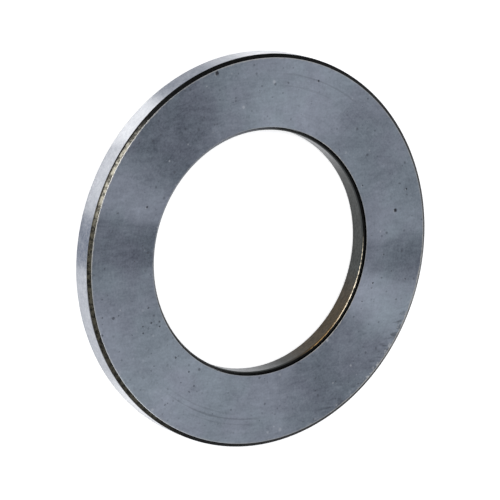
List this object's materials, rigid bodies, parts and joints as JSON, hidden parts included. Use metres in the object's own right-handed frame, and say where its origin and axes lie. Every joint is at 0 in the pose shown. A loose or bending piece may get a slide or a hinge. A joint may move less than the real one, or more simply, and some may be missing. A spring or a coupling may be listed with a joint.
{
  "type": "thrust ball bearing",
  "caption": "Thin flat thrust ball bearing: a ground steel housing washer with a full-depth collar over a lipped shaft washer, with a brass cage and steel balls shut in between them.",
  "frame": {"origin": "on the bearing's axis, in the plane of the shaft washer's flat face, which the bearing lies on", "axes": "+Z along the bearing's axis, towards the housing washer's flat face; +X through the centre of ball_01"},
  "size_m": [0.13, 0.13, 0.008],
  "materials": {
    "washer_steel": "ground faces, black oxide chamfers",
    "ball_steel": "lapped to a mirror",
    "cage_brass": "turned and drilled"
  },
  "bodies": {
    "housing_washer": {"housing_washer": "washer_steel"},
    "shaft_washer": {"shaft_washer": "washer_steel"},
    "cage": {"cage": "cage_brass"},
    "ball_01": {"ball_01": "ball_steel"},
    "ball_02": {"ball_02": "ball_steel"},
    "ball_03": {"ball_03": "ball_steel"},
    "ball_04": {"ball_04": "ball_steel"},
    "ball_05": {"ball_05": "ball_steel"},
    "ball_06": {"ball_06": "ball_steel"},
    "ball_07": {"ball_07": "ball_steel"},
    "ball_08": {"ball_08": "ball_steel"},
    "ball_09": {"ball_09": "ball_steel"},
    "ball_10": {"ball_10": "ball_steel"},
    "ball_11": {"ball_11": "ball_steel"},
    "ball_12": {"ball_12": "ball_steel"},
    "ball_13": {"ball_13": "ball_steel"},
    "ball_14": {"ball_14": "ball_steel"},
    "ball_15": {"ball_15": "ball_steel"},
    "ball_16": {"ball_16": "ball_steel"},
    "ball_17": {"ball_17": "ball_steel"},
    "ball_18": {"ball_18": "ball_steel"},
    "ball_19": {"ball_19": "ball_steel"},
    "ball_20": {"ball_20": "ball_steel"},
    "ball_21": {"ball_21": "ball_steel"},
    "ball_22": {"ball_22": "ball_steel"},
    "ball_23": {"ball_23": "ball_steel"},
    "ball_24": {"ball_24": "ball_steel"},
    "ball_25": {"ball_25": "ball_steel"},
    "ball_26": {"ball_26": "ball_steel"},
    "ball_27": {"ball_27": "ball_steel"},
    "ball_28": {"ball_28": "ball_steel"},
    "ball_29": {"ball_29": "ball_steel"},
    "ball_30": {"ball_30": "ball_steel"},
    "ball_31": {"ball_31": "ball_steel"},
    "ball_32": {"ball_32": "ball_steel"},
    "ball_33": {"ball_33": "ball_steel"},
    "ball_34": {"ball_34": "ball_steel"},
    "ball_35": {"ball_35": "ball_steel"},
    "ball_36": {"ball_36": "ball_steel"},
    "ball_37": {"ball_37": "ball_steel"},
    "ball_38": {"ball_38": "ball_steel"},
    "ball_39": {"ball_39": "ball_steel"},
    "ball_40": {"ball_40": "ball_steel"},
    "ball_41": {"ball_41": "ball_steel"},
    "ball_42": {"ball_42": "ball_steel"},
    "ball_43": {"ball_43": "ball_steel"},
    "ball_44": {"ball_44": "ball_steel"},
    "ball_45": {"ball_45": "ball_steel"},
    "ball_46": {"ball_46": "ball_steel"},
    "ball_47": {"ball_47": "ball_steel"},
    "ball_48": {"ball_48": "ball_steel"}
  },
  "joints": [
    {"name": "shaft_washer_spin", "type": "hinge", "parent": "housing_washer", "child": "shaft_washer", "pos_m": [0, 0, 0.004], "axis": [0, 0, 1], "continuous": true},
    {"name": "cage_orbit", "type": "hinge", "parent": "housing_washer", "child": "cage", "pos_m": [0, 0, 0.004], "axis": [0, 0, 1], "continuous": true},
    {"name": "ball_01_roll", "type": "hinge", "parent": "cage", "child": "ball_01", "pos_m": [0.0525, 0, 0.004], "axis": [1, 0, 0], "continuous": true},
    {"name": "ball_02_roll", "type": "hinge", "parent": "cage", "child": "ball_02", "pos_m": [0.05205, 0.00685, 0.004], "axis": [0.9914, 0.1305, 0], "continuous": true},
    {"name": "ball_03_roll", "type": "hinge", "parent": "cage", "child": "ball_03", "pos_m": [0.05071, 0.01359, 0.004], "axis": [0.9659, 0.2588, 0], "continuous": true},
    {"name": "ball_04_roll", "type": "hinge", "parent": "cage", "child": "ball_04", "pos_m": [0.0485, 0.02009, 0.004], "axis": [0.9239, 0.3827, 0], "continuous": true},
    {"name": "ball_05_roll", "type": "hinge", "parent": "cage", "child": "ball_05", "pos_m": [0.04547, 0.02625, 0.004], "axis": [0.866, 0.5, 0], "continuous": true},
    {"name": "ball_06_roll", "type": "hinge", "parent": "cage", "child": "ball_06", "pos_m": [0.04165, 0.03196, 0.004], "axis": [0.7934, 0.6088, 0], "continuous": true},
    {"name": "ball_07_roll", "type": "hinge", "parent": "cage", "child": "ball_07", "pos_m": [0.03712, 0.03712, 0.004], "axis": [0.7071, 0.7071, 0], "continuous": true},
    {"name": "ball_08_roll", "type": "hinge", "parent": "cage", "child": "ball_08", "pos_m": [0.03196, 0.04165, 0.004], "axis": [0.6088, 0.7934, 0], "continuous": true},
    {"name": "ball_09_roll", "type": "hinge", "parent": "cage", "child": "ball_09", "pos_m": [0.02625, 0.04547, 0.004], "axis": [0.5, 0.866, 0], "continuous": true},
    {"name": "ball_10_roll", "type": "hinge", "parent": "cage", "child": "ball_10", "pos_m": [0.02009, 0.0485, 0.004], "axis": [0.3827, 0.9239, 0], "continuous": true},
    {"name": "ball_11_roll", "type": "hinge", "parent": "cage", "child": "ball_11", "pos_m": [0.01359, 0.05071, 0.004], "axis": [0.2588, 0.9659, 0], "continuous": true},
    {"name": "ball_12_roll", "type": "hinge", "parent": "cage", "child": "ball_12", "pos_m": [0.00685, 0.05205, 0.004], "axis": [0.1305, 0.9914, 0], "continuous": true},
    {"name": "ball_13_roll", "type": "hinge", "parent": "cage", "child": "ball_13", "pos_m": [0, 0.0525, 0.004], "axis": [0, 1, 0], "continuous": true},
    {"name": "ball_14_roll", "type": "hinge", "parent": "cage", "child": "ball_14", "pos_m": [-0.00685, 0.05205, 0.004], "axis": [-0.1305, 0.9914, 0], "continuous": true},
    {"name": "ball_15_roll", "type": "hinge", "parent": "cage", "child": "ball_15", "pos_m": [-0.01359, 0.05071, 0.004], "axis": [-0.2588, 0.9659, 0], "continuous": true},
    {"name": "ball_16_roll", "type": "hinge", "parent": "cage", "child": "ball_16", "pos_m": [-0.02009, 0.0485, 0.004], "axis": [-0.3827, 0.9239, 0], "continuous": true},
    {"name": "ball_17_roll", "type": "hinge", "parent": "cage", "child": "ball_17", "pos_m": [-0.02625, 0.04547, 0.004], "axis": [-0.5, 0.866, 0], "continuous": true},
    {"name": "ball_18_roll", "type": "hinge", "parent": "cage", "child": "ball_18", "pos_m": [-0.03196, 0.04165, 0.004], "axis": [-0.6088, 0.7934, 0], "continuous": true},
    {"name": "ball_19_roll", "type": "hinge", "parent": "cage", "child": "ball_19", "pos_m": [-0.03712, 0.03712, 0.004], "axis": [-0.7071, 0.7071, 0], "continuous": true},
    {"name": "ball_20_roll", "type": "hinge", "parent": "cage", "child": "ball_20", "pos_m": [-0.04165, 0.03196, 0.004], "axis": [-0.7934, 0.6088, 0], "continuous": true},
    {"name": "ball_21_roll", "type": "hinge", "parent": "cage", "child": "ball_21", "pos_m": [-0.04547, 0.02625, 0.004], "axis": [-0.866, 0.5, 0], "continuous": true},
    {"name": "ball_22_roll", "type": "hinge", "parent": "cage", "child": "ball_22", "pos_m": [-0.0485, 0.02009, 0.004], "axis": [-0.9239, 0.3827, 0], "continuous": true},
    {"name": "ball_23_roll", "type": "hinge", "parent": "cage", "child": "ball_23", "pos_m": [-0.05071, 0.01359, 0.004], "axis": [-0.9659, 0.2588, 0], "continuous": true},
    {"name": "ball_24_roll", "type": "hinge", "parent": "cage", "child": "ball_24", "pos_m": [-0.05205, 0.00685, 0.004], "axis": [-0.9914, 0.1305, 0], "continuous": true},
    {"name": "ball_25_roll", "type": "hinge", "parent": "cage", "child": "ball_25", "pos_m": [-0.0525, 0, 0.004], "axis": [-1, 0, 0], "continuous": true},
    {"name": "ball_26_roll", "type": "hinge", "parent": "cage", "child": "ball_26", "pos_m": [-0.05205, -0.00685, 0.004], "axis": [-0.9914, -0.1305, 0], "continuous": true},
    {"name": "ball_27_roll", "type": "hinge", "parent": "cage", "child": "ball_27", "pos_m": [-0.05071, -0.01359, 0.004], "axis": [-0.9659, -0.2588, 0], "continuous": true},
    {"name": "ball_28_roll", "type": "hinge", "parent": "cage", "child": "ball_28", "pos_m": [-0.0485, -0.02009, 0.004], "axis": [-0.9239, -0.3827, 0], "continuous": true},
    {"name": "ball_29_roll", "type": "hinge", "parent": "cage", "child": "ball_29", "pos_m": [-0.04547, -0.02625, 0.004], "axis": [-0.866, -0.5, 0], "continuous": true},
    {"name": "ball_30_roll", "type": "hinge", "parent": "cage", "child": "ball_30", "pos_m": [-0.04165, -0.03196, 0.004], "axis": [-0.7934, -0.6088, 0], "continuous": true},
    {"name": "ball_31_roll", "type": "hinge", "parent": "cage", "child": "ball_31", "pos_m": [-0.03712, -0.03712, 0.004], "axis": [-0.7071, -0.7071, 0], "continuous": true},
    {"name": "ball_32_roll", "type": "hinge", "parent": "cage", "child": "ball_32", "pos_m": [-0.03196, -0.04165, 0.004], "axis": [-0.6088, -0.7934, 0], "continuous": true},
    {"name": "ball_33_roll", "type": "hinge", "parent": "cage", "child": "ball_33", "pos_m": [-0.02625, -0.04547, 0.004], "axis": [-0.5, -0.866, 0], "continuous": true},
    {"name": "ball_34_roll", "type": "hinge", "parent": "cage", "child": "ball_34", "pos_m": [-0.02009, -0.0485, 0.004], "axis": [-0.3827, -0.9239, 0], "continuous": true},
    {"name": "ball_35_roll", "type": "hinge", "parent": "cage", "child": "ball_35", "pos_m": [-0.01359, -0.05071, 0.004], "axis": [-0.2588, -0.9659, 0], "continuous": true},
    {"name": "ball_36_roll", "type": "hinge", "parent": "cage", "child": "ball_36", "pos_m": [-0.00685, -0.05205, 0.004], "axis": [-0.1305, -0.9914, 0], "continuous": true},
    {"name": "ball_37_roll", "type": "hinge", "parent": "cage", "child": "ball_37", "pos_m": [0, -0.0525, 0.004], "axis": [0, -1, 0], "continuous": true},
    {"name": "ball_38_roll", "type": "hinge", "parent": "cage", "child": "ball_38", "pos_m": [0.00685, -0.05205, 0.004], "axis": [0.1305, -0.9914, 0], "continuous": true},
    {"name": "ball_39_roll", "type": "hinge", "parent": "cage", "child": "ball_39", "pos_m": [0.01359, -0.05071, 0.004], "axis": [0.2588, -0.9659, 0], "continuous": true},
    {"name": "ball_40_roll", "type": "hinge", "parent": "cage", "child": "ball_40", "pos_m": [0.02009, -0.0485, 0.004], "axis": [0.3827, -0.9239, 0], "continuous": true},
    {"name": "ball_41_roll", "type": "hinge", "parent": "cage", "child": "ball_41", "pos_m": [0.02625, -0.04547, 0.004], "axis": [0.5, -0.866, 0], "continuous": true},
    {"name": "ball_42_roll", "type": "hinge", "parent": "cage", "child": "ball_42", "pos_m": [0.03196, -0.04165, 0.004], "axis": [0.6088, -0.7934, 0], "continuous": true},
    {"name": "ball_43_roll", "type": "hinge", "parent": "cage", "child": "ball_43", "pos_m": [0.03712, -0.03712, 0.004], "axis": [0.7071, -0.7071, 0], "continuous": true},
    {"name": "ball_44_roll", "type": "hinge", "parent": "cage", "child": "ball_44", "pos_m": [0.04165, -0.03196, 0.004], "axis": [0.7934, -0.6088, 0], "continuous": true},
    {"name": "ball_45_roll", "type": "hinge", "parent": "cage", "child": "ball_45", "pos_m": [0.04547, -0.02625, 0.004], "axis": [0.866, -0.5, 0], "continuous": true},
    {"name": "ball_46_roll", "type": "hinge", "parent": "cage", "child": "ball_46", "pos_m": [0.0485, -0.02009, 0.004], "axis": [0.9239, -0.3827, 0], "continuous": true},
    {"name": "ball_47_roll", "type": "hinge", "parent": "cage", "child": "ball_47", "pos_m": [0.05071, -0.01359, 0.004], "axis": [0.9659, -0.2588, 0], "continuous": true},
    {"name": "ball_48_roll", "type": "hinge", "parent": "cage", "child": "ball_48", "pos_m": [0.05205, -0.00685, 0.004], "axis": [0.9914, -0.1305, 0], "continuous": true}
  ],
  "couplings": [
    {"joint": "cage_orbit", "follows": "shaft_washer_spin", "ratio": 0.5},
    {"joint": "ball_01_roll", "follows": "shaft_washer_spin", "ratio": 11.025},
    {"joint": "ball_02_roll", "follows": "shaft_washer_spin", "ratio": 11.025},
    {"joint": "ball_03_roll", "follows": "shaft_washer_spin", "ratio": 11.025},
    {"joint": "ball_04_roll", "follows": "shaft_washer_spin", "ratio": 11.025},
    {"joint": "ball_05_roll", "follows": "shaft_washer_spin", "ratio": 11.025},
    {"joint": "ball_06_roll", "follows": "shaft_washer_spin", "ratio": 11.025},
    {"joint": "ball_07_roll", "follows": "shaft_washer_spin", "ratio": 11.025},
    {"joint": "ball_08_roll", "follows": "shaft_washer_spin", "ratio": 11.025},
    {"joint": "ball_09_roll", "follows": "shaft_washer_spin", "ratio": 11.025},
    {"joint": "ball_10_roll", "follows": "shaft_washer_spin", "ratio": 11.025},
    {"joint": "ball_11_roll", "follows": "shaft_washer_spin", "ratio": 11.025},
    {"joint": "ball_12_roll", "follows": "shaft_washer_spin", "ratio": 11.025},
    {"joint": "ball_13_roll", "follows": "shaft_washer_spin", "ratio": 11.025},
    {"joint": "ball_14_roll", "follows": "shaft_washer_spin", "ratio": 11.025},
    {"joint": "ball_15_roll", "follows": "shaft_washer_spin", "ratio": 11.025},
    {"joint": "ball_16_roll", "follows": "shaft_washer_spin", "ratio": 11.025},
    {"joint": "ball_17_roll", "follows": "shaft_washer_spin", "ratio": 11.025},
    {"joint": "ball_18_roll", "follows": "shaft_washer_spin", "ratio": 11.025},
    {"joint": "ball_19_roll", "follows": "shaft_washer_spin", "ratio": 11.025},
    {"joint": "ball_20_roll", "follows": "shaft_washer_spin", "ratio": 11.025},
    {"joint": "ball_21_roll", "follows": "shaft_washer_spin", "ratio": 11.025},
    {"joint": "ball_22_roll", "follows": "shaft_washer_spin", "ratio": 11.025},
    {"joint": "ball_23_roll", "follows": "shaft_washer_spin", "ratio": 11.025},
    {"joint": "ball_24_roll", "follows": "shaft_washer_spin", "ratio": 11.025},
    {"joint": "ball_25_roll", "follows": "shaft_washer_spin", "ratio": 11.025},
    {"joint": "ball_26_roll", "follows": "shaft_washer_spin", "ratio": 11.025},
    {"joint": "ball_27_roll", "follows": "shaft_washer_spin", "ratio": 11.025},
    {"joint": "ball_28_roll", "follows": "shaft_washer_spin", "ratio": 11.025},
    {"joint": "ball_29_roll", "follows": "shaft_washer_spin", "ratio": 11.025},
    {"joint": "ball_30_roll", "follows": "shaft_washer_spin", "ratio": 11.025},
    {"joint": "ball_31_roll", "follows": "shaft_washer_spin", "ratio": 11.025},
    {"joint": "ball_32_roll", "follows": "shaft_washer_spin", "ratio": 11.025},
    {"joint": "ball_33_roll", "follows": "shaft_washer_spin", "ratio": 11.025},
    {"joint": "ball_34_roll", "follows": "shaft_washer_spin", "ratio": 11.025},
    {"joint": "ball_35_roll", "follows": "shaft_washer_spin", "ratio": 11.025},
    {"joint": "ball_36_roll", "follows": "shaft_washer_spin", "ratio": 11.025},
    {"joint": "ball_37_roll", "follows": "shaft_washer_spin", "ratio": 11.025},
    {"joint": "ball_38_roll", "follows": "shaft_washer_spin", "ratio": 11.025},
    {"joint": "ball_39_roll", "follows": "shaft_washer_spin", "ratio": 11.025},
    {"joint": "ball_40_roll", "follows": "shaft_washer_spin", "ratio": 11.025},
    {"joint": "ball_41_roll", "follows": "shaft_washer_spin", "ratio": 11.025},
    {"joint": "ball_42_roll", "follows": "shaft_washer_spin", "ratio": 11.025},
    {"joint": "ball_43_roll", "follows": "shaft_washer_spin", "ratio": 11.025},
    {"joint": "ball_44_roll", "follows": "shaft_washer_spin", "ratio": 11.025},
    {"joint": "ball_45_roll", "follows": "shaft_washer_spin", "ratio": 11.025},
    {"joint": "ball_46_roll", "follows": "shaft_washer_spin", "ratio": 11.025},
    {"joint": "ball_47_roll", "follows": "shaft_washer_spin", "ratio": 11.025},
    {"joint": "ball_48_roll", "follows": "shaft_washer_spin", "ratio": 11.025}
  ]
}
